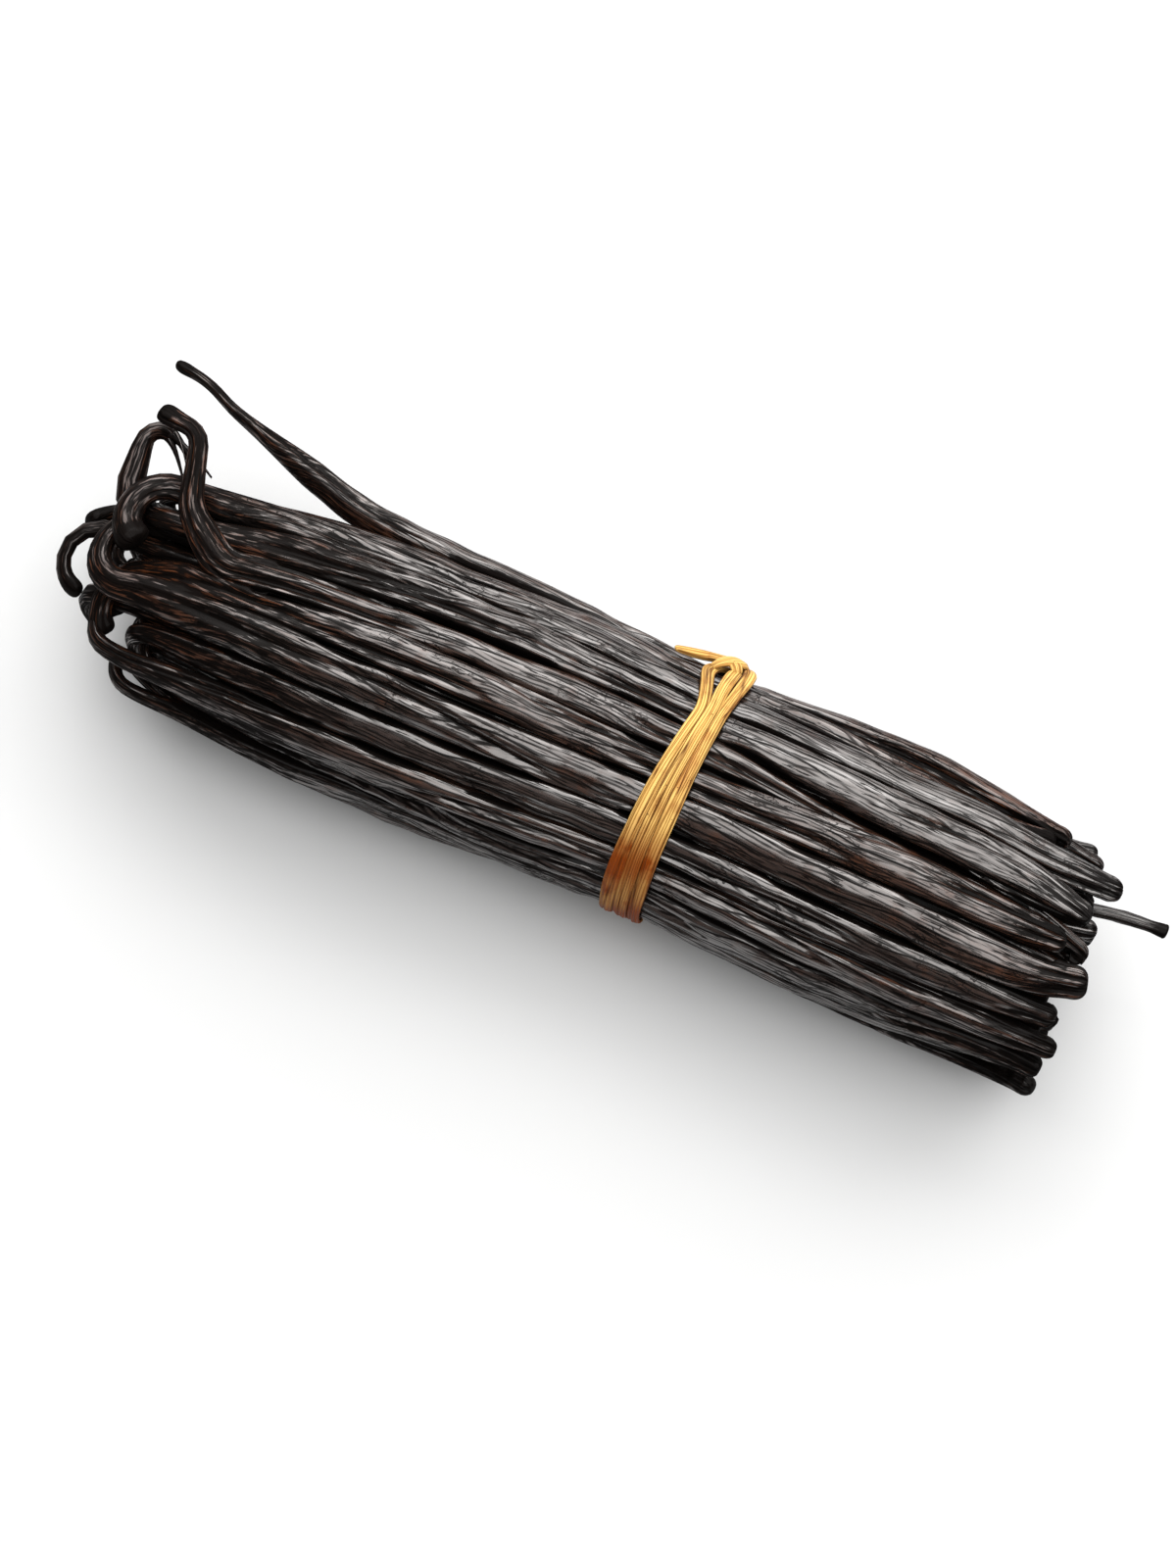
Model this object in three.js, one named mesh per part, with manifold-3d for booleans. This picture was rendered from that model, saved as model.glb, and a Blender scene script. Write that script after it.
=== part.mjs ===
// A bundle of cured vanilla pods laid side by side, with their hooked stem ends together at -x and their
// blunt blossom ends together at +x, tied round the middle with three turns of raffia and a knot.
// Sizes are in millimetres. While it is laid out, x is 0 at the tie and z is 0 on the surface it lies on;
// at the end the whole is moved along x and y so that the origin is under the middle of its box.

import * as THREE from 'three';
import { mergeVertices } from 'three/addons/utils/BufferGeometryUtils.js';
import Module from 'manifold-3d';

const wasm = await Module();
wasm.setup();

const { lerp, smoothstep, degToRad, radToDeg, euclideanModulo } = THREE.MathUtils;

// ---- Driving dimensions ----

// The bundle
const halfWidth = 22.9; // half its width away from the tie
const halfHeight = 20.3; // half its height away from the tie
const pressedFlat = 1.0; // how much its underside is pressed flat by its own weight
const widthSqueeze = 2.5; // how far the raffia draws the sides in
const heightSqueeze = 2.9; // how far the raffia draws the top and the underside in
const squeezeReach = 24; // how far along the bundle that squeeze is felt
const lean = 0.003; // the bundle is this much thicker for each millimetre towards the stems
const stemDraw = 1.8; // how far the sides draw in again over the last stretch before the stems bend
const blossomEnds = 67.5; // from the tie to the blossom ends
const stemNecks = -89; // from the tie to where the stems start to bend

// One pod
const podHalfWide = 3.5;
const podHalfThick = 2.5;
const podEndScatter = 2.6; // how unevenly the pods' ends lie
const neckShare = 0.52; // a stem's thickness, as a share of the pod's
const neckReach = 30; // the pod narrows over this length towards its stem
const tipShare = 0.74; // a blossom end's thickness, as a share of the pod's
const tipReach = 15; // the pod narrows over this length towards its blossom end
const wander = 0.05; // how far a pod strays round the bundle, in radians
const wanderLength = 17;
const podEndRound = 0.7; // the very end of a blossom end, as a share of the thickness just behind it
const podBodyPlaces = [30, 0, -34]; // where a pod's body is measured out, from the tie
const podSides = 6;

// The rings of pods. Those inside the outer one show at their ends alone. depth is below the outer ring.
// The core is everything that does not show.
const outerPods = 19;
const innerRings = [
  { count: 12, depth: 5.4 },
  { count: 6, depth: 10.8 },
];
const coreSides = 26;
const coreBodyPlaces = [30, 14, 0, -14, -34];
const coreEnds = { stem: stemNecks + 6, blossom: blossomEnds - 10 };

// The hooks at the stem ends. A stem bends by turn at radius, then runs straight, then bends on by turnOn.
// side is the way it bends, as an angle round the bundle, and reach is how far its neck stands out.
const hookRadius = 5.4;
const hookRadiusSpread = 1.3;
const bendSteps = 4;
const outerHooks = new Map([
  [0, { side: 22, turn: 12, radius: 30, run: 5, reach: 4 }],
  [1, { side: 200, turn: 140, radius: 5.2, run: 0, reach: 1 }],
  [3, { side: 20, turn: 60, radius: 5, run: 6, reach: -4 }],
  [4, { side: 204, turn: 140, radius: 4.6, run: 0, reach: 3 }],
  [5, { side: 20, turn: 135, radius: 5.6, run: 0, reach: 4 }],
]);
const innerHooks = new Map([
  [20, { side: 22, turn: 95, radius: 3, run: 6, turnOn: 90, reach: 5 }],
  [21, { side: 200, turn: 160, radius: 4.2, run: 0, reach: 7 }],
]);

// The raffia
const turns = 3;
const strandHalfWide = 1.35;
const strandHalfThick = 0.6;
const turnPitch = 2.35;
const strandSlant = 0.7; // the turns lie a little askew
const strandClearance = 0.35; // between the raffia and the pods
const knotAngle = degToRad(30); // round the bundle from +y towards +z
const knotHalfSizes = { along: 3.4, around: 2.9, out: 2.0 };
const looseEnds = [
  { heading: degToRad(165), length: 9.2 },
  { heading: degToRad(30), length: 6.7 },
];
const looseEndRise = 0.9; // how far a loose end's tip stands off

// ---- Helpers ----

// A number from -1 to 1 that looks random but is always the same for one pod and one kind of variation.
function vary(pod, kind) {
  return euclideanModulo(Math.sin(pod * 127.1 + kind * 311.7) * 43758.5453, 1) * 2 - 1;
}

// The closed solid of a geometry, with its vertices shared between faces.
function solidOf(geometry) {
  geometry.deleteAttribute('normal');
  geometry.deleteAttribute('uv');
  const merged = mergeVertices(geometry, 1e-4);
  return new wasm.Manifold(
    new wasm.Mesh({
      numProp: 3,
      vertProperties: merged.attributes.position.array,
      triVerts: new Uint32Array(merged.index.array),
    }),
  );
}

// Where pieces are joined, small pockets can be shut in between them. The outer skin alone is the solid
// without them.
function withoutPockets(solid) {
  return solid.decompose().find((body) => body.volume() > 0);
}

function geometryOf(solid) {
  const { vertProperties, triVerts } = solid.getMesh();
  const geometry = new THREE.BufferGeometry();
  geometry.setAttribute('position', new THREE.BufferAttribute(vertProperties, 3));
  geometry.setIndex(new THREE.BufferAttribute(triVerts, 1));
  geometry.computeVertexNormals();
  return geometry;
}

// A cylinder bent along stations, each { at, wide, thick }: a centre and the two half-sizes as vectors.
function sweptSolid(stations, sides) {
  const steps = stations.length - 1;
  const geometry = new THREE.CylinderGeometry(1, 1, 1, sides, steps);
  const position = geometry.attributes.position;
  const point = new THREE.Vector3();
  for (let i = 0; i < position.count; i++) {
    const { at, wide, thick } = stations[Math.round((0.5 - position.getY(i)) * steps)];
    point.copy(at)
      .addScaledVector(wide, position.getX(i))
      .addScaledVector(thick, position.getZ(i));
    position.setXYZ(i, point.x, point.y, point.z);
  }
  return solidOf(geometry);
}

// ---- The outline of the bundle ----

// Half its width, half its height, and how high its middle line is above the surface.
function outlineAt(x) {
  const squeeze = Math.exp(-((x / squeezeReach) ** 2));
  const spread = -lean * x - stemDraw * (1 - smoothstep(x, stemNecks, stemNecks + neckReach));
  return {
    wide: halfWidth + spread - widthSqueeze * squeeze,
    high: halfHeight + spread - heightSqueeze * squeeze,
    middle: halfHeight + spread - pressedFlat,
  };
}

// The direction straight out of the bundle at an angle round it, and the direction round it.
function outwards(angle, { wide, high }) {
  return new THREE.Vector3(0, Math.cos(angle) / wide, Math.sin(angle) / high).normalize();
}

function around(out) {
  return new THREE.Vector3(1, 0, 0).cross(out);
}

// ---- Pods ----

// A station of a pod at x. depth is how far its middle line lies inside the outline.
function podStation(pod, angle, depth, x, neck, tip) {
  const outline = outlineAt(x);
  const turned = angle + wander * Math.sin(x / wanderLength + 4 * vary(pod, 2));
  const out = outwards(turned, outline);
  const size = lerp(neckShare, 1, smoothstep(x, neck, neck + neckReach))
    * lerp(1, tipShare, smoothstep(x, tip - tipReach, tip));
  const centre = new THREE.Vector3(
    x,
    (outline.wide - depth) * Math.cos(turned),
    outline.middle + (outline.high - depth) * Math.sin(turned),
  );
  return {
    at: centre,
    wide: around(out).multiplyScalar(podHalfWide * lerp(size, size * size, 0.3)),
    thick: out.multiplyScalar(podHalfThick * size),
  };
}

// A pod with no hook in the lists above gets one by chance, which bends in towards the middle.
function chanceHook(pod, angle) {
  return {
    side: radToDeg(angle) + 180 + 55 * vary(pod, 5),
    turn: 125 + 55 * vary(pod, 6),
    radius: hookRadius + hookRadiusSpread * vary(pod, 7),
    run: 0,
    reach: podEndScatter * vary(pod, 4),
  };
}

// The stations of a stem that goes on from its neck through its hook.
function hookStations(hook, neck) {
  const heading = new THREE.Vector3(-1, 0, 0);
  const side = degToRad(hook.side);
  const pivot = heading.clone().cross(new THREE.Vector3(0, Math.cos(side), Math.sin(side)));
  const station = {
    at: neck.at.clone(),
    wide: neck.wide.clone(),
    thick: neck.thick.clone(),
  };
  const stations = [];
  const advance = (length, bend) => {
    for (const part of [station.wide, station.thick]) {
      part.applyAxisAngle(pivot, bend);
    }
    heading.applyAxisAngle(pivot, bend / 2);
    station.at.addScaledVector(heading, length);
    heading.applyAxisAngle(pivot, bend / 2);
    stations.push({
      at: station.at.clone(),
      wide: station.wide.clone(),
      thick: station.thick.clone(),
    });
  };
  const curl = (turn) => {
    const bend = degToRad(turn) / bendSteps;
    for (let step = 0; step < bendSteps; step++) {
      advance(2 * hook.radius * Math.abs(Math.sin(bend / 2)), bend);
    }
  };
  curl(hook.turn);
  if (hook.run > 0) {
    advance(hook.run, 0);
  }
  if (hook.turnOn) {
    curl(hook.turnOn);
  }
  return stations;
}

// A pod of the outer ring, whole from its blossom end to the tip of its hook.
function outerPod(pod) {
  const angle = ((pod + 0.5) / outerPods) * 2 * Math.PI;
  const hook = outerHooks.get(pod) ?? chanceHook(pod, angle);
  const tip = blossomEnds + podEndScatter * vary(pod, 3);
  const neck = stemNecks - hook.reach;
  const places = [tip, tip - 1.5, tip - tipReach / 2, tip - tipReach, ...podBodyPlaces];
  places.push(neck + neckReach, neck + neckReach / 2, neck);
  const stations = places.map((x) => podStation(pod, angle, podHalfThick, x, neck, tip));
  stations[0].wide.multiplyScalar(podEndRound);
  stations[0].thick.multiplyScalar(podEndRound);
  return sweptSolid([...stations, ...hookStations(hook, stations.at(-1))], podSides);
}

// A pod of an inner ring. Only its two ends show, so each is a solid that starts inside the core.
function innerPodEnds(pod, angle, depth) {
  const hook = innerHooks.get(pod) ?? chanceHook(pod, angle);
  const tip = blossomEnds + podEndScatter * vary(pod, 8);
  const neck = stemNecks - hook.reach;
  const station = (x) => podStation(pod, angle, podHalfThick + depth, x, neck, tip);
  const blossomEnd = [tip, tip - tipReach / 2, tip - tipReach].map(station);
  const stemEnd = [neck + neckReach / 2, neck].map(station);
  return [
    sweptSolid(blossomEnd, podSides),
    sweptSolid([...stemEnd, ...hookStations(hook, stemEnd.at(-1))], podSides),
  ];
}

// The packed pods under the outer ring, as one solid that reaches halfway into that ring.
function core() {
  const { stem, blossom } = coreEnds;
  const places = [blossom, ...coreBodyPlaces, stemNecks + neckReach, stem];
  const stations = places.map((x) => {
    const { wide, high, middle } = outlineAt(x);
    const atEnd = x === stem || x === blossom;
    const inset = podHalfThick * (atEnd ? 1.5 : 0.7);
    return {
      at: new THREE.Vector3(x, 0, middle),
      wide: new THREE.Vector3(0, 0, high - inset),
      thick: new THREE.Vector3(0, wide - inset, 0),
    };
  });
  return sweptSolid(stations, coreSides);
}

// Everything above the surface that the bundle lies on.
function aboveSurface() {
  const room = 400;
  return solidOf(new THREE.BoxGeometry(room, room, room).translate(0, 0, room / 2));
}

function podBundle() {
  let bundle = core();
  for (let pod = 0; pod < outerPods; pod++) {
    bundle = bundle.add(outerPod(pod));
  }
  let pod = outerPods;
  for (const { count, depth } of innerRings) {
    for (let place = 0; place < count; place++) {
      const angle = ((place + 0.25) / count) * 2 * Math.PI;
      for (const end of innerPodEnds(pod, angle, depth)) {
        bundle = bundle.add(end);
      }
      pod++;
    }
  }
  return withoutPockets(bundle.intersect(aboveSurface()).simplify(0.03));
}

// ---- Raffia ----

// A point on the middle of the band at an angle round the bundle, lifted out by some distance.
function onBand(angle, x, lift) {
  const { wide, high, middle } = outlineAt(x);
  const out = strandClearance + strandHalfThick;
  return new THREE.Vector3(
    x,
    (wide + out) * Math.cos(angle),
    middle + (high + out) * Math.sin(angle),
  ).addScaledVector(outwards(angle, { wide, high }), lift);
}

// One turn of the strand: a ring drawn to the outline of the squeezed bundle.
function strandTurn(turn) {
  const ringSteps = 32;
  const ringSides = 6;
  const tube = 0.1;
  const geometry = new THREE.TorusGeometry(1, tube, ringSides, ringSteps);
  const position = geometry.attributes.position;
  const middle = (turn - (turns - 1) / 2) * turnPitch;
  for (let i = 0; i < position.count; i++) {
    const angle = Math.atan2(position.getY(i), position.getX(i));
    const lift = (Math.hypot(position.getX(i), position.getY(i)) - 1) * (strandHalfThick / tube);
    const across = position.getZ(i) * (strandHalfWide / tube);
    const point = onBand(angle, middle + strandSlant * Math.sin(angle), lift);
    position.setXYZ(i, point.x + across, point.y, point.z);
  }
  return solidOf(geometry);
}

function knot() {
  const { along, around: round, out } = knotHalfSizes;
  const centre = onBand(knotAngle, 0, out - strandHalfThick);
  const geometry = new THREE.SphereGeometry(1, 10, 8)
    .scale(along, out, round)
    .rotateX(knotAngle)
    .translate(centre.x, centre.y, centre.z);
  return solidOf(geometry);
}

// A loose end lies along the bundle, away from the knot, and narrows to its cut.
function looseEnd({ heading, length }) {
  const out = outwards(knotAngle, outlineAt(0));
  const ahead = new THREE.Vector3(Math.cos(heading), 0, 0)
    .addScaledVector(around(out), Math.sin(heading));
  const across = ahead.clone().cross(out).normalize();
  const from = onBand(knotAngle, 0, knotHalfSizes.out - strandHalfThick / 2);
  const stations = [0, 0.4, 0.8, 1].map((share) => ({
    at: from.clone()
      .addScaledVector(ahead, length * share)
      .addScaledVector(out, looseEndRise * share),
    wide: across.clone().multiplyScalar(lerp(1.2, 0.5, share)),
    thick: out.clone().multiplyScalar(lerp(0.7, 0.4, share)),
  }));
  return sweptSolid(stations.reverse(), 6);
}

function raffiaTie() {
  let tie = knot();
  for (let turn = 0; turn < turns; turn++) {
    tie = tie.add(strandTurn(turn));
  }
  for (const end of looseEnds) {
    tie = tie.add(looseEnd(end));
  }
  return withoutPockets(tie.simplify(0.02));
}

// ---- The object ----

const podSkin = new THREE.MeshStandardMaterial({ color: 0x21150f, roughness: 0.4, metalness: 0 });
const raffia = new THREE.MeshStandardMaterial({ color: 0xcf8b34, roughness: 0.6, metalness: 0 });

function named(name, solid, material) {
  const mesh = new THREE.Mesh(geometryOf(solid), material);
  mesh.name = name;
  return mesh;
}

const bundle = new THREE.Group();
bundle.add(named('pod_bundle', podBundle(), podSkin));
bundle.add(named('raffia_tie', raffiaTie(), raffia));

const middle = new THREE.Box3().setFromObject(bundle).getCenter(new THREE.Vector3());
bundle.position.set(-middle.x, -middle.y, 0);

export default bundle;
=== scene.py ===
import math
from collections import namedtuple

import bpy
import numpy as np
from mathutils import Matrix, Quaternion, Vector, noise


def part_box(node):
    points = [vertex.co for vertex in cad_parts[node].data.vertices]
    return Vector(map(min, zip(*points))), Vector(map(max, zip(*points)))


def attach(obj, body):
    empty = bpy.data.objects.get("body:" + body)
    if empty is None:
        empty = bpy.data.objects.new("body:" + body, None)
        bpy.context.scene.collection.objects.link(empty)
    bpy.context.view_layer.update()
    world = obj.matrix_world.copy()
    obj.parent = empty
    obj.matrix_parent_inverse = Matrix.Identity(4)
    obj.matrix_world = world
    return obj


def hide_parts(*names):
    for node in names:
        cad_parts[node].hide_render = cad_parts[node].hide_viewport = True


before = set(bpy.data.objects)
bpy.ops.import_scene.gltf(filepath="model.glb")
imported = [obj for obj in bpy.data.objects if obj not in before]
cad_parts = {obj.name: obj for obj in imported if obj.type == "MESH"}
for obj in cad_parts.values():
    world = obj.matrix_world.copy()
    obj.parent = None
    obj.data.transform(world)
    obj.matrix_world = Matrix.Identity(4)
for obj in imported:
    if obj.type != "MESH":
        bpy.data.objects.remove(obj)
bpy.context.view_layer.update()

# ---------------------------------------------------------------------------------------------------
# One cured pod, straight
# A vanilla pod is a long soft capsule, scalded and dried until it is a flattened, oily, nearly black
# strip. It is full over most of its length and blunt at its blossom end, and narrows over its last
# three centimetres to a stem with a small knob where it was picked. Sizes here are in millimetres.
# ---------------------------------------------------------------------------------------------------

POD_LENGTH = 172.0
POD_WIDE = 6.9
POD_THICK = 5.2
BLUNT_END, STEM_STARTS = 16.0, 140.0  # distances from the blossom end
FULL_FROM, FULL_TO = 22.0, 138.0
UNEVEN = (0.93, 1.07)  # how far the width and thickness wander where the pod is full
# distance from the blossom end, and the share of the full width there
POD_OUTLINE = [
    (0.0, 0.26), (0.35, 0.44), (1.0, 0.57), (1.9, 0.62), (2.8, 0.60), (4.2, 0.65), (7.0, 0.74),
    (11.0, 0.85), (16.0, 0.94), (22.0, 1.0), (132.0, 1.0), (140.0, 0.93), (146.0, 0.82), (151.0, 0.70),
    (155.0, 0.61), (160.0, 0.56), (166.0, 0.53), (168.5, 0.56), (170.3, 0.66), (171.4, 0.60),
    (172.0, 0.36),
]


def share_of_full(distance):
    places, shares = zip(*POD_OUTLINE)
    return np.interp(distance, places, shares)


def start_disc(name, sides):
    """A disc across X at the origin, all of it selected in edit mode, to be extruded."""
    bpy.ops.object.select_all(action="DESELECT")
    bpy.ops.mesh.primitive_circle_add(
        vertices=sides, radius=0.5, fill_type="NGON", rotation=(0, math.pi / 2, 0)
    )
    made = bpy.context.object
    made.name = name
    bpy.ops.object.transform_apply(location=True, rotation=True, scale=True)
    bpy.ops.object.mode_set(mode="EDIT")
    bpy.ops.mesh.select_all(action="SELECT")
    return made


def close_skin(made, levels):
    """Turns the faces outwards and rounds the skin off."""
    bpy.ops.mesh.select_all(action="SELECT")
    bpy.ops.mesh.normals_make_consistent(inside=False)
    bpy.ops.object.mode_set(mode="OBJECT")
    if levels:
        skin = made.modifiers.new("round_skin", "SUBSURF")
        skin.levels = skin.render_levels = levels
        bpy.ops.object.modifier_apply(modifier=skin.name)


def straight_pod(name, sides, spacing, levels, seed):
    """A pod along -X from its blossom end at the origin: a disc, extruded ring by ring, then smoothed."""
    draw = np.random.default_rng(seed)
    at_ends = [d for d, _ in POD_OUTLINE if d <= BLUNT_END or d >= STEM_STARTS]
    rings = sorted(set(at_ends + list(np.arange(BLUNT_END + 3.0, STEM_STARTS - 1.0, spacing))))
    size = [float(share_of_full(d)) for d in rings]
    pod = start_disc(name, sides)
    wide, thick = POD_WIDE * size[0], POD_THICK * size[0]
    bpy.ops.transform.resize(value=(1, wide, thick), center_override=(0, 0, 0))
    for before, here, share in zip(rings, rings[1:], size[1:]):
        full = FULL_FROM < here < FULL_TO
        new_wide = POD_WIDE * share * (draw.uniform(*UNEVEN) if full else 1.0)
        flatter = 1.0 - 0.06 * min(1.0, max(0.0, (here - STEM_STARTS) / 15.0))
        new_thick = POD_THICK * share * (draw.uniform(*UNEVEN) if full else flatter)
        bpy.ops.mesh.extrude_region_move(TRANSFORM_OT_translate={"value": (before - here, 0, 0)})
        bpy.ops.transform.resize(
            value=(1, new_wide / wide, new_thick / thick), center_override=(-here, 0, 0)
        )
        wide, thick = new_wide, new_thick
    close_skin(pod, levels)
    return pod


outer_kind = straight_pod("straight_pod", 14, 3.2, 2, 1)
inner_kind = straight_pod("straight_inner_pod", 14, 3.6, 1, 2)

# ---------------------------------------------------------------------------------------------------
# How the pods lie
# About fifty pods are gathered with their blossom ends level and pressed into a round hank by the
# raffia and by their own weight. They run side by side, cross a little, and give way to each other.
# ---------------------------------------------------------------------------------------------------

# the bundle's axis where it is tied, in millimetres like everything that is laid out here
TIE_TO_BLOSSOMS = 69.9
RAFFIA_TO_AXIS = 21.95
pods_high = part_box("pod_bundle")[1]
raffia_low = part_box("raffia_tie")[0]
tie_x = pods_high.x * 1000 - TIE_TO_BLOSSOMS
axis_y = raffia_low.y * 1000 + RAFFIA_TO_AXIS
BLOSSOM_ENDS, STEM_NECKS = 67.5, -89.0  # along the bundle from the tie
HALF_WIDE, HALF_HIGH = 22.9, 20.3
SQUEEZED_WIDE, SQUEEZED_HIGH, SQUEEZE_REACH = 2.5, 2.9, 24.0  # how far the raffia draws it in
MIDDLE_LOWERED = 1.0  # the middle lies this much under half the height
POD_COUNT = 48
POD_RADIUS = 2.86  # the room that a full pod keeps for itself
lie = np.random.default_rng(5)


def smooth(value, start, end):
    share = np.clip((value - start) / (end - start), 0, 1)
    return share * share * (3 - 2 * share)


def outline(x):
    """Half the bundle's width and height and the height of its middle, at x from the tie."""
    squeeze = np.exp(-((x / SQUEEZE_REACH) ** 2))
    spread = -0.003 * x - 1.8 * (1 - smooth(x, STEM_NECKS, STEM_NECKS + 30))
    wide = HALF_WIDE + spread - SQUEEZED_WIDE * squeeze
    high = HALF_HIGH + spread - SQUEEZED_HIGH * squeeze
    return wide, high, HALF_HIGH + spread - MIDDLE_LOWERED


BOW_AT_BLOSSOMS, BOW_AT_STEMS = 1.5, 1.5  # how far the whole bundle bends away from its axis
# a lane is where a pod's middle runs, across and up, at each of these places along the bundle
stations = np.linspace(72.0, -100.0, 44)
half_wide, half_high, middle = outline(stations)
pod_size = lie.uniform(0.86, 1.16, POD_COUNT)
blossom_end = BLOSSOM_ENDS + lie.uniform(-3.2, 2.4, POD_COUNT)
stem_neck = STEM_NECKS + lie.uniform(-2.0, 3.0, POD_COUNT)

# they start spread evenly over the bundle's section, as seeds are in a sunflower, and stray from there
GOLDEN_ANGLE = 2.39996
start_angle = np.arange(POD_COUNT) * GOLDEN_ANGLE
start_reach = np.sqrt((np.arange(POD_COUNT) + 0.5) / POD_COUNT) * 0.93
stray = lie.uniform(0, 2 * math.pi, (POD_COUNT, 4))
lanes = np.empty((POD_COUNT, len(stations), 2))
for k, x in enumerate(stations):
    lanes[:, k, 0] = half_wide[k] * start_reach * np.cos(start_angle)
    lanes[:, k, 1] = half_high[k] * start_reach * np.sin(start_angle)
    lanes[:, k, 0] += 1.5 * np.sin(x / 28.0 + stray[:, 0]) + 0.5 * np.sin(x / 11.0 + stray[:, 1])
    lanes[:, k, 1] += 1.4 * np.sin(x / 25.0 + stray[:, 2]) + 0.5 * np.sin(x / 10.0 + stray[:, 3])

along = blossom_end[:, None] - stations[None, :]
reach_size = np.maximum(share_of_full(np.clip(along, 0.0, 160.0)), 0.93) * pod_size[:, None]
radius = POD_RADIUS * reach_size
SOFTNESS = 0.94  # how near two pods may come, as a share of the room they keep
pair_gap = SOFTNESS * (radius[:, None, :] + radius[None, :, :])
not_self = ~np.eye(POD_COUNT, dtype=bool)[:, :, None]
room_wide = half_wide - radius * 0.92
room_high = half_high - radius * 0.92


def settle(turns, held, wanted):
    """Pods that overlap push each other away, inside the outline; held ones keep to their places."""
    global lanes
    for _ in range(turns):
        apart = lanes[:, None] - lanes[None, :]
        distance = np.sqrt((apart**2).sum(-1)) + 1e-6
        push = np.where(not_self & (distance < pair_gap), (pair_gap - distance) / distance * 0.5, 0.0)
        lanes += 0.8 * (push[..., None] * apart).sum(1)
        lanes -= 0.0015 * lanes
        out = np.sqrt((lanes[..., 0] / room_wide) ** 2 + (lanes[..., 1] / room_high) ** 2)
        lanes /= np.maximum(out, 1.0)[..., None]
        for _ in range(2):
            lanes[:, 1:-1] += 0.30 * (lanes[:, :-2] + lanes[:, 2:] - 2 * lanes[:, 1:-1]) / 2
            lanes[:, 0] += 0.3 * (lanes[:, 1] - lanes[:, 0])
            lanes[:, -1] += 0.3 * (lanes[:, -2] - lanes[:, -1])
        lanes += held * (wanted - lanes)


settle(260, 0.0, 0.0)
tie_station = int(np.argmin(abs(stations)))
out = np.sqrt(
    (lanes[:, tie_station, 0] / half_wide[tie_station]) ** 2
    + (lanes[:, tie_station, 1] / half_high[tie_station]) ** 2
)
OUTERMOST_FROM = 0.74  # share of the way out where the tie is
outermost = out > OUTERMOST_FROM


def lane_at(pod, x):
    """The middle of a pod at x from the tie, across and up."""
    across = np.interp(-x, -stations, lanes[pod, :, 0])
    up = np.interp(-x, -stations, lanes[pod, :, 1])
    return across, up + np.interp(-x, -stations, middle)


# ---------------------------------------------------------------------------------------------------
# The hooks at the stem ends
# Most of the stems have dried curled over like a crook. A hook is a list of bends, each a
# turn in degrees and a radius in millimetres, or a straight run where the turn is nought. They bend
# towards the hook's side, or one of their own, given as an angle round the bundle from +Y towards +Z.
# ---------------------------------------------------------------------------------------------------

UP_AND_BACK = 14.0
DOWN_AND_FRONT = 194.0
OUT_OF_TOP = 104.0
INTO_TOP = 284.0
# where the pod comes out, round the bundle and as a share of the way out: its side, its bends, how far
# its neck reaches, its size, how red it is, and how dark its stem is painted, its tone with painted shade
SHOWN_HOOKS = [
    (7.0, 1.1, UP_AND_BACK, [(13, 40), (0, 22), (10, 30), (-18, 20), (0, 4)], 28.0, 0.62, 0.2, 0.5),
    (51.5, 1.0, DOWN_AND_FRONT, [(20, 13, OUT_OF_TOP), (150, 5.6), (0, 2)], 3.0, 1.14, 0.4, 0.3),
    (86.0, 1.0, UP_AND_BACK, [(42, 8), (0, 5), (36, 8), (0, 7.5), (-66, 3.5), (0, 5)],
     14.0, 0.76, 0.6, 0.45),
    (97.0, 0.97, DOWN_AND_FRONT, [(16, 20, INTO_TOP), (13, 26), (-8, 20, INTO_TOP), (125, 6.5)],
     12.0, 1.0, 0.9, 0.25),
    (109.0, 1.05, UP_AND_BACK, [(-9, 28), (136, 6.4, 352.0), (0, 3)], 2.0, 1.16, 0.4, 0.3),
]
DEEP_HOOKS = [
    (62.0, 0.72, UP_AND_BACK, [(84, 5.0), (0, 6), (112, 2.7), (0, 1)], -6.0, 1.1, 0.15, 0.7),
    (77.0, 0.58, DOWN_AND_FRONT, [(175, 5.5)], -9.7, 0.74, 0.1, 0.6),
]
Hook = namedtuple("Hook", "side bends size red dark")
NECK_STATION, BLOSSOM_STATION = -6, 4


def pod_angle(pod, station=NECK_STATION):
    """Where a pod lies round the bundle, in degrees from +Y towards +Z."""
    across, up = lanes[pod, station]
    return math.degrees(math.atan2(up, across)) % 360


hooks = {}
uneven = np.random.default_rng(12)  # for how far the other stems reach
strays = np.zeros(POD_COUNT)
held = np.zeros_like(lanes)
places = lanes.copy()
for wanted, deep in ((SHOWN_HOOKS, False), (DEEP_HOOKS, True)):
    for angle, way_out, side, bends, reach, size, red, dark in wanted:
        free = [
            p for p in range(POD_COUNT)
            if p not in hooks and (deep != bool(outermost[p])) and (not deep or out[p] > 0.4)
        ]
        pod = min(free, key=lambda p: abs((pod_angle(p) - angle + 180) % 360 - 180))
        hooks[pod] = Hook(side, bends, size, red, dark)
        stem_neck[pod] = STEM_NECKS + reach
        strays[pod] = max(0.0, way_out - 1.0)
        # it is led to where its hook comes out, and the others make way for it
        led = smooth(-stations, 42.0, 76.0)[:, None]
        turned = np.array([math.cos(math.radians(angle)), math.sin(math.radians(angle))])
        room = np.stack([room_wide[pod], room_high[pod]], axis=1)
        there = lanes[pod, NECK_STATION] / room[NECK_STATION]
        places[pod] = lanes[pod] + led * room * (way_out * turned - there)
        held[pod] = np.where(led > 0, 1.0, 0.0)
lanes = places.copy()
settle(60, held, places)
torn = next(pod for pod in hooks if hooks[pod].bends is DEEP_HOOKS[0][3])  # its end is in fibres
DARK_SIDE = (106, 280)  # of the stems, away from the light, which are painted darker as painted shade
SHORT_SIDE = (8, 44)
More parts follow.
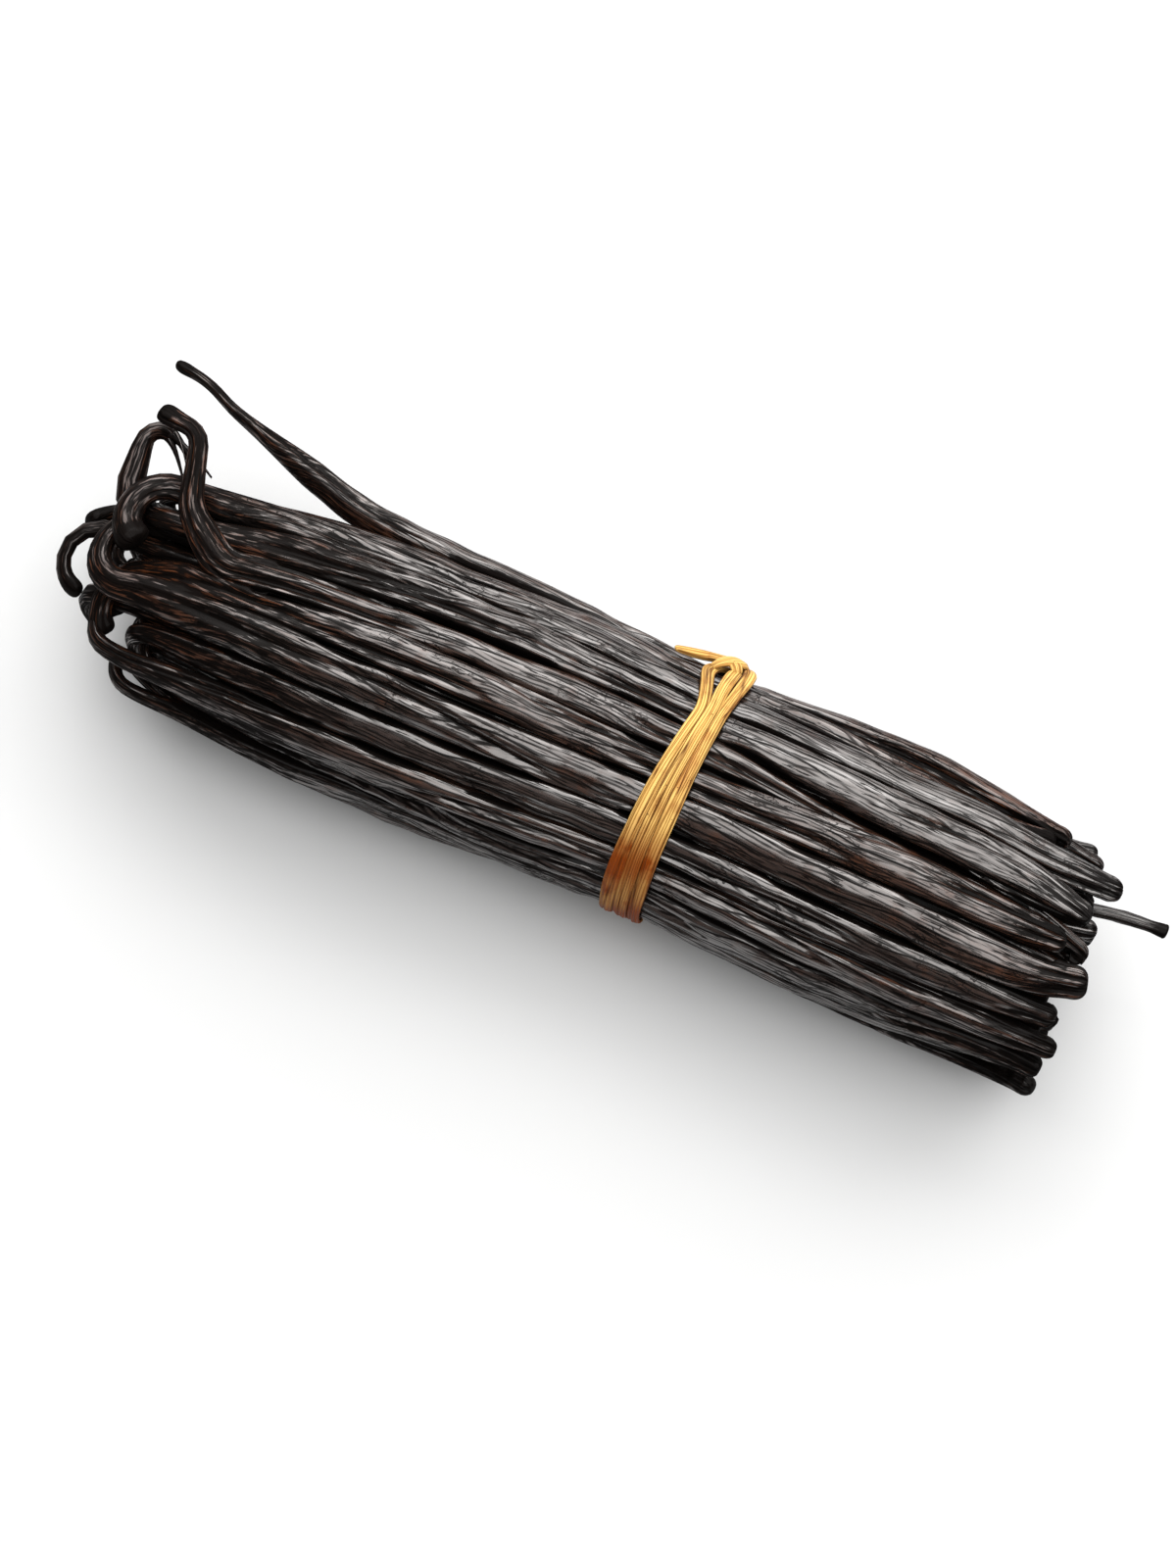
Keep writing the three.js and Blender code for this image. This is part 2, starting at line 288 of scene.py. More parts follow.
for pod in range(POD_COUNT):
    if pod in hooks:
        continue
    inwards = pod_angle(pod) + 180 + lie.uniform(-60, 60)
    first = (lie.uniform(5, 30), lie.uniform(14, 40))
    curl = (lie.uniform(25, 160), lie.uniform(3.8, 6.4))
    size, red = lie.uniform(0.72, 1.0), lie.uniform(0.0, 0.4)
    stem_neck[pod] += uneven.uniform(-3.0, 6.0)
    stem_neck[pod] += 4.0 + 4.5 * max(0.0, -math.cos(math.radians(pod_angle(pod) - UP_AND_BACK)))
    in_the_dark = DARK_SIDE[0] < pod_angle(pod) < DARK_SIDE[1]
    dark = lie.uniform(0.35, 0.8) if in_the_dark else lie.uniform(0.0, 0.3)
    hooks[pod] = Hook(inwards, [first, curl, (0, lie.uniform(0.5, 4))], size, red, dark)
# some of the pods at the back are shorter, and red at their ends
short = np.zeros(POD_COUNT, dtype=bool)
for pod in range(POD_COUNT):
    if outermost[pod] and SHORT_SIDE[0] < pod_angle(pod, BLOSSOM_STATION) < SHORT_SIDE[1]:
        blossom_end[pod] = BLOSSOM_ENDS - lie.uniform(6.0, 13.0)
        short[pod] = True


def hook_path(start, heading, side_angle, bends):
    """Points about 0.9 mm apart through the bends, from where the stem leaves the bundle."""
    point, way, path = start.copy(), heading.normalized(), []
    for turn, length, *own_side in bends:
        if own_side:
            bend_side = math.radians(own_side[0])
        else:
            bend_side = math.radians(side_angle)
        pivot = heading.cross(Vector((0, math.cos(bend_side), math.sin(bend_side)))).normalized()
        if turn == 0:
            steps, step, bend = max(1, round(length / 0.9)), 0.9, 0.0
        else:
            steps = max(2, round(abs(math.radians(turn)) * length / 0.8))
            bend = math.radians(turn) / steps
            step = 2 * length * math.sin(abs(bend) / 2)
        for _ in range(steps):
            way.rotate(Quaternion(pivot, bend / 2))
            point = point + way * step
            way.rotate(Quaternion(pivot, bend / 2))
            path.append(point.copy())
    return path


# ---------------------------------------------------------------------------------------------------
# The skin of the pods
# It is the dried wall of the capsule: nearly black, oily, and drawn into close, broken wrinkles that run
# along the pod. Where it is thin or strained, at the stems and in patches, a red brown shows through.
# All of its patterns are laid out on the straight pod, in millimetres, so that they bend with it.
# Its grooves, folds and gaps and the shaded parts of the bundle are painted near black and without oil, as
# painted shade.
# ---------------------------------------------------------------------------------------------------


def node(tree, kind, place=(0, 0), **values):
    made = tree.nodes.new(kind)
    made.location = place
    for key, value in values.items():
        setattr(made, key, value)
    return made


def wire(tree, made, **sources):
    """Joins or sets the inputs of a node, each by its name with _ for spaces, or by its number as n0."""
    for key, source in sources.items():
        if key[0] == "n" and key[1:].isdigit():
            socket = made.inputs[int(key[1:])]
        else:
            socket = made.inputs[key.replace("_", " ")]
        if isinstance(source, bpy.types.NodeSocket):
            tree.links.new(source, socket)
        else:
            socket.default_value = source
    return made


def sums(tree, operation, *values, clamp=False):
    made = node(tree, "ShaderNodeMath", operation=operation, use_clamp=clamp)
    wire(tree, made, **{f"n{i}": v for i, v in enumerate(values)})
    return made.outputs[0]


# Lines that run along a piece, sway and break off, and how the skin swells between them. Spacing is
# from line to line, Stretch how much longer than that they run, and Line Width a share of it.
grain = bpy.data.node_groups.new("lengthwise_grain", "ShaderNodeTree")
for name, kind, value in (
    ("Straight", "NodeSocketVector", None), ("Spacing", "NodeSocketFloat", 1.0),
    ("Stretch", "NodeSocketFloat", 10.0), ("Line Width", "NodeSocketFloat", 0.1),
    ("Waviness", "NodeSocketFloat", 0.4),
):
    made = grain.interface.new_socket(name=name, in_out="INPUT", socket_type=kind)
    if value is not None:
        made.default_value = value
for name in ("Line", "Swell"):
    grain.interface.new_socket(name=name, in_out="OUTPUT", socket_type="NodeSocketFloat")
given = node(grain, "NodeGroupInput")
along, across, apart = wire(
    grain, node(grain, "ShaderNodeSeparateXYZ"), Vector=given.outputs["Straight"]
).outputs[:3]
spaced = sums(grain, "DIVIDE", along, given.outputs["Spacing"])
lengths = sums(grain, "DIVIDE", spaced, given.outputs["Stretch"])
widths = sums(grain, "DIVIDE", across, given.outputs["Spacing"])
drift_place = wire(
    grain, node(grain, "ShaderNodeCombineXYZ"), X=lengths, Y=sums(grain, "MULTIPLY", widths, 0.14),
    Z=apart,
)
drift = node(grain, "ShaderNodeTexNoise")
wire(grain, drift, Vector=drift_place.outputs[0], Scale=1.0, Detail=1.5)
sway = sums(grain, "MULTIPLY", sums(grain, "SUBTRACT", drift.outputs[0], 0.5), given.outputs["Waviness"])
ribs = node(grain, "ShaderNodeTexVoronoi", voronoi_dimensions="1D", feature="DISTANCE_TO_EDGE")
wire(grain, ribs, W=sums(grain, "ADD", widths, sway), Scale=1.0)
faint_place = wire(
    grain, node(grain, "ShaderNodeCombineXYZ"), X=sums(grain, "MULTIPLY", lengths, 2.0), Y=widths,
    Z=sums(grain, "ADD", apart, 37.0),
)
faint = node(grain, "ShaderNodeTexNoise")
wire(grain, faint, Vector=faint_place.outputs[0], Scale=1.0, Detail=1.0)
seen = wire(
    grain, node(grain, "ShaderNodeMapRange", interpolation_type="SMOOTHSTEP"),
    Value=faint.outputs[0], n1=0.36, n2=0.46, n3=0.2, n4=1.0,
)
line = wire(
    grain, node(grain, "ShaderNodeMapRange", interpolation_type="SMOOTHSTEP"),
    Value=ribs.outputs["Distance"], n1=sums(grain, "MULTIPLY", given.outputs["Line Width"], 0.4),
    n2=given.outputs["Line Width"], n3=1.0, n4=0.0,
)
swelling = wire(
    grain, node(grain, "ShaderNodeMapRange", interpolation_type="SMOOTHSTEP"),
    Value=ribs.outputs["Distance"], n1=0.0, n2=0.30, n3=0.0, n4=1.0,
)
broken_line = sums(grain, "MULTIPLY", line.outputs[0], seen.outputs[0])
wire(grain, node(grain, "NodeGroupOutput"), Line=broken_line, Swell=swelling.outputs[0])


def lengthwise_grain(tree, straight, spacing, stretch, width, waviness=0.4):
    made = node(tree, "ShaderNodeGroup", node_tree=grain)
    wire(tree, made, Straight=straight, Spacing=spacing, Stretch=stretch)
    wire(tree, made, Line_Width=width, Waviness=waviness)
    return made.outputs["Line"], made.outputs["Swell"]


def blend_colour(tree, share, first, second):
    made = node(tree, "ShaderNodeMix", data_type="RGBA")
    for socket, value in ((made.inputs[0], share), (made.inputs[6], first), (made.inputs[7], second)):
        if isinstance(value, bpy.types.NodeSocket):
            tree.links.new(value, socket)
        else:
            socket.default_value = value if isinstance(value, float) else (*value, 1.0)
    return made.outputs[2]


def stretch_range(tree, value, low, high, new_low=0.0, new_high=1.0):
    made = node(tree, "ShaderNodeMapRange", interpolation_type="SMOOTHSTEP")
    wire(tree, made, Value=value, n1=low, n2=high, n3=new_low, n4=new_high)
    return made.outputs[0]


pod_skin = bpy.data.materials.new("oily_pod_skin")
pod_skin.use_nodes = True
tree = pod_skin.node_tree
shader = tree.nodes["Principled BSDF"]
straight = node(tree, "ShaderNodeAttribute", attribute_name="straight").outputs["Vector"]
tone = node(tree, "ShaderNodeAttribute", attribute_name="redness").outputs["Fac"]
# the painted shade of the folds, gaps and shaded places, with a darker tone here and there
fold = node(tree, "ShaderNodeAttribute", attribute_name="fold").outputs["Fac"]
stem = node(tree, "ShaderNodeAttribute", attribute_name="stem").outputs["Fac"]
shrivel = node(tree, "ShaderNodeAttribute", attribute_name="shrivel").outputs["Fac"]
# wrinkles of three sizes, the wide ones fainter on the stems
wrinkle, swell = lengthwise_grain(tree, straight, 2.3, 9.0, 0.09, 2.2)
crease, fine_swell = lengthwise_grain(tree, straight, 1.1, 14.0, 0.17, 2.6)
hairline, _ = lengthwise_grain(tree, straight, 0.62, 16.0, 0.24, 3.0)
wrinkle = sums(tree, "MULTIPLY", wrinkle, sums(tree, "SUBTRACT", 1.0, sums(tree, "MULTIPLY", stem, 0.7)))
hairline = sums(tree, "MULTIPLY", hairline, sums(tree, "ADD", 0.85, sums(tree, "MULTIPLY", stem, 0.1)))
# puckers that run every way, in patches and where the ends have shrivelled
pucker_place = wire(tree, node(tree, "ShaderNodeVectorMath", operation="MULTIPLY"), n0=straight)
pucker_place.inputs[1].default_value = (0.34, 0.95, 1.0)
crumple = node(tree, "ShaderNodeTexNoise")
wire(tree, crumple, Vector=pucker_place.outputs[0], Scale=1.0, Detail=2.0, Roughness=0.6)
crumple = sums(tree, "ABSOLUTE", sums(tree, "SUBTRACT", crumple.outputs[0], 0.5))
pucker = stretch_range(tree, crumple, 0.008, 0.032, 0.9, 0.0)
patches = wire(tree, node(tree, "ShaderNodeTexNoise"), Vector=straight, Scale=0.10, Detail=2.0)
puckered = stretch_range(tree, sums(tree, "ADD", patches.outputs[0], shrivel), 0.54, 0.63)
# short fine wrinkles that break up the sheen, and let the painted shade of the folds and gaps end in
# streaks
streak_place = wire(tree, node(tree, "ShaderNodeVectorMath", operation="MULTIPLY"), n0=straight)
streak_place.inputs[1].default_value = (0.22, 3.3, 1.0)
streak = node(tree, "ShaderNodeTexNoise")
wire(tree, streak, Vector=streak_place.outputs[0], Scale=1.0, Detail=2.0, Roughness=0.6)
streak = streak.outputs[0]
streaky = sums(tree, "MULTIPLY", sums(tree, "SUBTRACT", streak, 0.5), 1.5)
streaked_painted_shade = stretch_range(tree, sums(tree, "SUBTRACT", fold, streaky), 0.34, 0.52)
# all that is sunken, with the painted shade: it is painted nearly black, as painted shade in the grooves,
# creases and gaps
lined = stretch_range(tree, patches.outputs[0], 0.30, 0.62, 0.35, 1.0)
groove_and_painted_shade = sums(tree, "MAXIMUM", wrinkle, sums(tree, "MULTIPLY", crease, lined))
groove_and_painted_shade = sums(tree, "MAXIMUM", groove_and_painted_shade, hairline)
groove_and_painted_shade = sums(tree, "MAXIMUM", groove_and_painted_shade, sums(tree, "MULTIPLY", pucker, puckered))
groove_and_painted_shade = sums(tree, "MAXIMUM", groove_and_painted_shade, stretch_range(tree, streak, 0.365, 0.41, 0.95, 0.0))
groove_and_painted_shade = sums(tree, "MAXIMUM", groove_and_painted_shade, streaked_painted_shade, clamp=True)
# the colour, redder on the stems and in a fine mottle
mottle = wire(tree, node(tree, "ShaderNodeTexNoise"), Vector=straight, Scale=0.33, Detail=4.0)
red = sums(tree, "ADD", tone, stretch_range(tree, mottle.outputs[0], 0.52, 0.72, 0.0, 0.35))
red = sums(tree, "MULTIPLY", red, stretch_range(tree, swell, 0.2, 0.9, 0.6, 1.1), clamp=True)
crown = blend_colour(tree, red, (0.021, 0.012, 0.009), (0.062, 0.019, 0.006))
# painted shade: the grooves and the shaded places are painted nearly black
skin_colour = blend_colour(tree, groove_and_painted_shade, crown, (0.0030, 0.0021, 0.0018))
# its relief
pillow = sums(tree, "MULTIPLY", stretch_range(tree, crumple, 0.0, 0.16), puckered)
height = sums(tree, "ADD", sums(tree, "MULTIPLY", swell, 0.45), sums(tree, "MULTIPLY", fine_swell, 0.35))
height = sums(tree, "ADD", height, streak)
height = sums(tree, "ADD", height, sums(tree, "MULTIPLY", pillow, 1.1))
height = sums(tree, "ADD", height, sums(tree, "MULTIPLY", groove_and_painted_shade, -0.5))
bump = wire(tree, node(tree, "ShaderNodeBump"), Strength=1.0, Distance=0.00033, Height=height)
# a coat of oil, which the stems and the red places have less of; it is taken off the grooves and the
# painted shade too, painting out the sheen there as shade
matt = sums(tree, "ADD", 0.36, sums(tree, "MULTIPLY", groove_and_painted_shade, 0.5))
oil = sums(tree, "SUBTRACT", 1.0, sums(tree, "MULTIPLY", groove_and_painted_shade, 0.95), clamp=True)
oil = sums(tree, "MULTIPLY", oil, sums(tree, "SUBTRACT", 1.0, sums(tree, "MULTIPLY", stem, 0.3)))
oil = sums(tree, "MULTIPLY", oil, sums(tree, "SUBTRACT", 1.0, sums(tree, "MULTIPLY", red, 0.55)))
oil = sums(tree, "MULTIPLY", oil, stretch_range(tree, patches.outputs[0], 0.3, 0.62, 1.08, 0.8))
wire(tree, shader, Base_Color=skin_colour, Roughness=matt, Normal=bump.outputs[0])
wire(tree, shader, IOR=1.5, Specular_IOR_Level=0.02)
wire(tree, shader, Coat_Weight=oil, Coat_Roughness=0.21, Coat_IOR=2.0)

# ---------------------------------------------------------------------------------------------------
# Each pod in its place
# A copy of the straight pod gets wrinkles and folds of its own, is bent along its lane and its hook,
# and is pressed flat against the pods beside it, as soft pods are in a tied bundle.
# ---------------------------------------------------------------------------------------------------

end_stray = lie.uniform(-2.4, 2.4, (POD_COUNT, 2))
FOLDS = 6  # on each pod, from end to end
FOLD_WIDE, FOLD_DEEP = 0.56, 1.05
SPREAD_BY_PRESSING = 1.13  # a pod is this much fuller before its neighbours press it flat
ROUND_IN_MM = 3.1  # a full pod's girth, so that what runs along it closes up where it narrows
GAP_SHADE = 0.75  # how near to its neighbour the skin of a pod is hidden from the light
HALF_GAP = 0.06  # between two pods that are pressed together
NEIGHBOUR = 9.0  # pods whose middles are further apart than this don't touch
ABOVE_FLOOR = 0.35  # under this the skin is flattened by the table


def copied(kind, name):
    """A mesh of its own from a straight piece, and where its vertices are."""
    mesh = kind.data.copy()
    mesh.name = name
    co = np.empty(len(mesh.vertices) * 3)
    mesh.vertices.foreach_get("co", co)
    return mesh, co.reshape(-1, 3)


def laid_piece(mesh, laid, skin, **read_by_skin):
    """A piece with its vertices laid out in millimetres, its skin, and what that reads at each vertex."""
    mesh.vertices.foreach_set("co", (laid / 1000).ravel())
    for name, values in read_by_skin.items():
        if np.ndim(values) == 2:
            made = mesh.attributes.new(name, "FLOAT_VECTOR", "POINT")
            made.data.foreach_set("vector", values.ravel())
        else:
            made = mesh.attributes.new(name, "FLOAT", "POINT")
            made.data.foreach_set("value", np.broadcast_to(values, len(laid)).astype(np.float64))
    mesh.materials.clear()
    mesh.materials.append(skin)
    mesh.update()
    piece = bpy.data.objects.new(mesh.name, mesh)
    bpy.context.scene.collection.objects.link(piece)
    return piece


def lane_path(pod):
    """Points from the blossom end to the stem's tip, and which way the pod is widest at each."""
    xs = np.arange(blossom_end[pod], stem_neck[pod], -1.6)
    across, up = lane_at(pod, xs)
    for _ in range(3):
        across[1:-1] = (across[:-2] + 2 * across[1:-1] + across[2:]) / 4
        up[1:-1] = (up[:-2] + 2 * up[1:-1] + up[2:]) / 4
    end_bend = np.clip(1 - (blossom_end[pod] - xs) / 16.0, 0, 1) ** 2
    across += end_stray[pod, 0] * end_bend
    up += end_stray[pod, 1] * end_bend
    body = np.stack([xs, across, up], axis=1)
    heading = Vector(body[-1] - body[-4])
    hook = hook_path(Vector(body[-1]), heading, hooks[pod].side, hooks[pod].bends)
    wide, high, mid = outline(xs)
    angle = np.arctan2((up - mid) / high, across / wide)
    facing = np.stack([0 * xs, -np.sin(angle) * wide, np.cos(angle) * high], axis=1)
    return np.vstack([body, np.array(hook)]), facing


def pressed(pod, laid):
    """Presses a laid pod flat against its neighbours, and gives how much painted shade the gaps put on its
    skin.
    """
    x = laid[:, 0]
    own_across, own_up = lane_at(pod, x)
    own = POD_RADIUS * pod_size[pod] * share_of_full(np.clip(blossom_end[pod] - x, 0, 160))
    inside = x > stem_neck[pod] + 6
    painted_gap_shade = np.zeros(len(laid))
    for other in range(POD_COUNT):
        if other == pod:
            continue
        across, up = lane_at(other, x)
        theirs = POD_RADIUS * pod_size[other] * share_of_full(np.clip(blossom_end[other] - x, 0, 160))
        gap_y, gap_z = across - own_across, up - own_up
        away = np.sqrt(gap_y**2 + gap_z**2)
        meets = (away**2 + own**2 - theirs**2) / (2 * away)
        there = inside & (x < blossom_end[other] - 0.5) & (x > stem_neck[other]) & (away < NEIGHBOUR)
        past = ((laid[:, 1] - own_across) * gap_y + (laid[:, 2] - own_up) * gap_z) / away
        close_by = (x < blossom_end[other] + 1.5) & (x > stem_neck[other] - 6) & (away < NEIGHBOUR)
        painted_gap_shade = np.maximum(painted_gap_shade, np.where(close_by, 1 - (meets - HALF_GAP - past) / GAP_SHADE, 0))
        over = np.where(there, np.maximum(past - (meets - HALF_GAP), 0), 0) * 0.94
        laid[:, 1] -= over * gap_y / away
        laid[:, 2] -= over * gap_z / away
    painted_gap_shade = np.clip(painted_gap_shade, 0, 1) * smooth(x, stem_neck[pod] + 1, stem_neck[pod] + 9)
    painted_gap_shade = painted_gap_shade * painted_gap_shade * (3 - 2 * painted_gap_shade)
    # here and there two pods are stuck together, with no gap between them and less painted shade
    stuck = np.array([noise.noise(c) for c in (laid / np.array([13.0, 5.0, 5.0]) + 9.3).tolist()])
    painted_gap_shade *= 0.25 + 0.75 * smooth(stuck, -0.18, 0.16)
    into_gap = 0.5 * painted_gap_shade / (np.sqrt((laid[:, 1] - own_across) ** 2 + (laid[:, 2] - own_up) ** 2) + 0.5)
    laid[:, 1] -= np.where(inside, into_gap * (laid[:, 1] - own_across), 0)
    laid[:, 2] -= np.where(inside, into_gap * (laid[:, 2] - own_up), 0)
    return painted_gap_shade, inside


def held_in(pod, laid, inside):
    """Keeps a laid pod within the bundle's outline and above the table, and bows it with the others."""
    x = laid[:, 0]
    wide, high, mid = outline(x)
    give = 0.15 + 1.1 * smooth(abs(x), 4.0, 14.0) + 24.0 * strays[pod] * smooth(-x, 36.0, 60.0)
    beyond = np.sqrt((laid[:, 1] / (wide + give)) ** 2 + ((laid[:, 2] - mid) / (high + give)) ** 2)
    hold = np.where(inside, 1 / np.maximum(beyond, 1.0), 1.0)
    laid[:, 1] *= hold
    laid[:, 2] = mid + (laid[:, 2] - mid) * hold
    flattened = ABOVE_FLOOR * np.exp((laid[:, 2] - ABOVE_FLOOR) / 0.7)
    laid[:, 2] = np.where(laid[:, 2] < ABOVE_FLOOR, flattened, laid[:, 2])
    bow = np.where(x > 0, BOW_AT_BLOSSOMS * (x / 70) ** 2, BOW_AT_STEMS * (x / 90) ** 2)
    laid[:, 1] += axis_y - bow
    laid[:, 0] += tie_x


def place_pod(kind, pod, name):
    mesh, co = copied(kind, name)
    count = len(co)
    normal = np.empty(count * 3)
    mesh.vertices.foreach_get("normal", normal)
    normal = normal.reshape(-1, 3)
    draw = np.random.default_rng(100 + pod)
    shift = draw.uniform(-500, 500, 3)

    # folds and wrinkles of its own, laid out on the straight pod
    far = -co[:, 0]
    thin = share_of_full(far)
    round_it = np.arctan2(co[:, 1], -co[:, 2] * POD_WIDE / POD_THICK)  # nought on the outer side
    twisted = round_it + draw.uniform(-0.006, 0.006) * far
    on_stem = smooth(far, 134.0, 150.0)
    spots = np.stack([far, ROUND_IN_MM * twisted * (1 - 0.5 * on_stem), 0 * far], axis=1) + shift
    deep = np.zeros(count)
    for _ in range(FOLDS):
        wander = 0.30 * np.sin(far / 19.0 + draw.uniform(0, 6))
        wander = wander + 0.14 * np.sin(far / 7.0 + draw.uniform(0, 6))
        off = (twisted - draw.uniform(-math.pi, math.pi) - wander + math.pi) % (2 * math.pi) - math.pi
        there = np.sin(far / 21.0 + draw.uniform(0, 6)) + 0.6 * np.sin(far / 8.0 + draw.uniform(0, 6))
        there = smooth(there, -0.3, 0.9)
        deep = np.maximum(deep, there * np.exp(-((ROUND_IN_MM * off / FOLD_WIDE) ** 2)))
    solid = np.stack([far / 15.0, co[:, 1] / 5.0, co[:, 2] / 5.0], axis=1) + shift
    lumps = np.array([noise.noise(c) for c in solid.tolist()])
    near_tip = 1 - smooth(far, 3.0, 12.0)
    pleats = np.clip(np.cos(6 * round_it + shift[0] + 0.06 * far), 0, 1) ** 2 * near_tip
    depth = -FOLD_DEEP * deep * thin * (1 - 0.6 * on_stem)
    depth += (0.32 + 0.35 * near_tip) * lumps * thin - 0.7 * pleats * thin
    co += normal * depth[:, None]

    # bent along its lane and its hook
    path, facing = lane_path(pod)
    steps = np.linalg.norm(np.diff(path, axis=0), axis=1)
    reach = np.concatenate([[0], np.cumsum(steps)])
    tangent = np.gradient(path, axis=0)
    tangent /= np.linalg.norm(tangent, axis=1)[:, None]
    wide_way = np.empty_like(path)
    roll = draw.uniform(-0.35, 0.35)
    for i in range(len(path)):
        want = facing[i] if i < len(facing) else wide_way[i - 1]
        want = want - tangent[i] * np.dot(want, tangent[i])
        wide_way[i] = want / np.linalg.norm(want)
    thick_way = np.cross(wide_way, tangent)
    hooked = np.clip((far - STEM_STARTS) / 20.0, 0, 1)
    girth = pod_size[pod] * (1 - hooked) + hooks[pod].size * hooked
    if pod == torn:
        girth = girth * (1 - 0.45 * smooth(far, 158.0, 172.0))
    spread = SPREAD_BY_PRESSING * girth
    where = far * (reach[-1] / POD_LENGTH)

    def along_path(values):
        return np.stack([np.interp(where, reach, values[:, i]) for i in range(3)], axis=1)

    flat_y = co[:, 1] * math.cos(roll) - co[:, 2] * math.sin(roll)
    flat_z = co[:, 1] * math.sin(roll) + co[:, 2] * math.cos(roll)
    laid = along_path(path)
    laid += along_path(wide_way) * (flat_y * spread)[:, None]
    laid += along_path(thick_way) * (flat_z * spread)[:, None]

    own_across = lane_at(pod, laid[:, 0])[0]
    painted_gap_shade, inside = pressed(pod, laid)
    held_in(pod, laid, inside)

    # how dark the folds, the gaps, the ends and the shaded places are painted: painted shade in the folds,
    # the pleats and the gaps and at both ends of the bundle, darker ends, and a tone that differs a little
    # from pod to pod
    ends = 0.6 * pleats + 0.25 * (1 - smooth(far, 0.3, 1.8)) + 0.35 * smooth(far, 168.0, 171.0)
    ends += 0.12 * (1 - smooth(far, 2.0, 24.0))
    if pod == torn:
        ends -= 0.3 * smooth(far, 166.0, 170.0)
    # the stem is painted darker by its hook's darkness: its own dark tone, with painted shade
    shade = 0.7 * hooks[pod].dark * smooth(far, 122.0, 150.0)
    # both ends of the bundle lie in its own shadow, more so on the side away from the light
    low_side = smooth(-own_across, -4.0, 14.0)
    shade += smooth(tie_x - laid[:, 0], 20.0, 66.0) * (0.36 + 0.10 * low_side)
    shade += smooth(laid[:, 0] - tie_x, 4.0, 46.0) * (0.16 + 0.16 * low_side)
    shade = np.minimum(shade + draw.uniform(-0.06, 0.13), 0.50)
    fold = np.clip(0.7 * (1 - 0.5 * on_stem) * deep**3 + painted_gap_shade + ends + shade, 0, 1)
    # how red it is, most of all on the stem and at some of the tips
    stem = np.clip((far - 118.0) / 30.0, 0, 1)
    tip = (1.8 if short[pod] else 1.5 * draw.random() ** 2) * np.exp(-far / 14.0)
    # the ends shrivel most, on some pods a good way up
    shrivel = draw.uniform(0.07, 0.18) * (1 - smooth(far, 6.0, draw.uniform(20.0, 60.0)))
    redness = draw.uniform(-0.1, 0.22) + (0.15 + hooks[pod].red) * stem + tip
    return laid_piece(
        mesh, laid, pod_skin, straight=spots, fold=fold, stem=on_stem, shrivel=shrivel, redness=redness
    )


def thin_pod():
    """One pod that never filled out, no thicker than a stem, sticks out among the blossom ends."""
    mesh, co = copied(inner_kind, "thin_pod")
    far = -co[:, 0] / POD_LENGTH
    tip, runs_back = np.array([80.0, 11.6, 15.0]), np.array([-46.0, -7.0, 1.5])
    laid = np.stack([tip[i] + runs_back[i] * far for i in range(3)], axis=1)
    knob = 0.33 * (1 + 0.9 * np.exp(-((far / 0.04) ** 2)))
    laid[:, 1:] += co[:, 1:] * knob[:, None] + 0.4 * np.sin(9 * far)[:, None]
    laid += np.array([tie_x, axis_y, 0])
    spots = np.stack([-co[:, 0] * 0.3, ROUND_IN_MM * np.arctan2(co[:, 1], co[:, 2]), 0 * far], axis=1)
    fold = 0.36 + 0.6 * np.exp(-((far / 0.05) ** 2))
    return laid_piece(mesh, laid, pod_skin, straight=spots, fold=fold, stem=1.0, redness=0.0)


def gathered(pieces, name):
    """One piece out of many, smooth all over."""
    bpy.ops.object.select_all(action="DESELECT")
    for piece in pieces:
        piece.select_set(True)
    bpy.context.view_layer.objects.active = pieces[0]
    bpy.ops.object.join()
    whole = bpy.context.object
    whole.name = name
    bpy.ops.object.shade_smooth()
    return whole


outer = sorted((p for p in range(POD_COUNT) if outermost[p]), key=pod_angle)
inner = [p for p in range(POD_COUNT) if not outermost[p]]
third = math.ceil(len(outer) / 3)
pods = []
for number in range(3):
    group = outer[number * third:(number + 1) * third]
    placed = [place_pod(outer_kind, pod, f"pod_{pod}") for pod in group]
    pods.append(gathered(placed, f"outer_pods_{number + 1}"))
placed = [place_pod(inner_kind, pod, f"pod_{pod}") for pod in inner]
pods.append(gathered(placed + [thin_pod()], "inner_pods"))
for piece in pods:
    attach(piece, "root")
    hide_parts("pod_bundle")
for kind in (outer_kind, inner_kind):
    bpy.data.objects.remove(kind)

# ---------------------------------------------------------------------------------------------------
# The torn stem end
# One of the curled stems is torn at its end, into stiff dark fibres that hang down from it. Each is a
# tapered rod, bent over, and they spring from the stem close beside each other.
# ---------------------------------------------------------------------------------------------------

FIBRES = 7
RINGS = 8

fibre_kind = start_disc("straight_fibre", 8)
for ring in range(RINGS):
    bpy.ops.mesh.extrude_region_move(TRANSFORM_OT_translate={"value": (1 / RINGS, 0, 0)})
    bpy.ops.transform.resize(value=(1, 0.82, 0.82), center_override=((ring + 1) / RINGS, 0, 0))
close_skin(fibre_kind, 0)


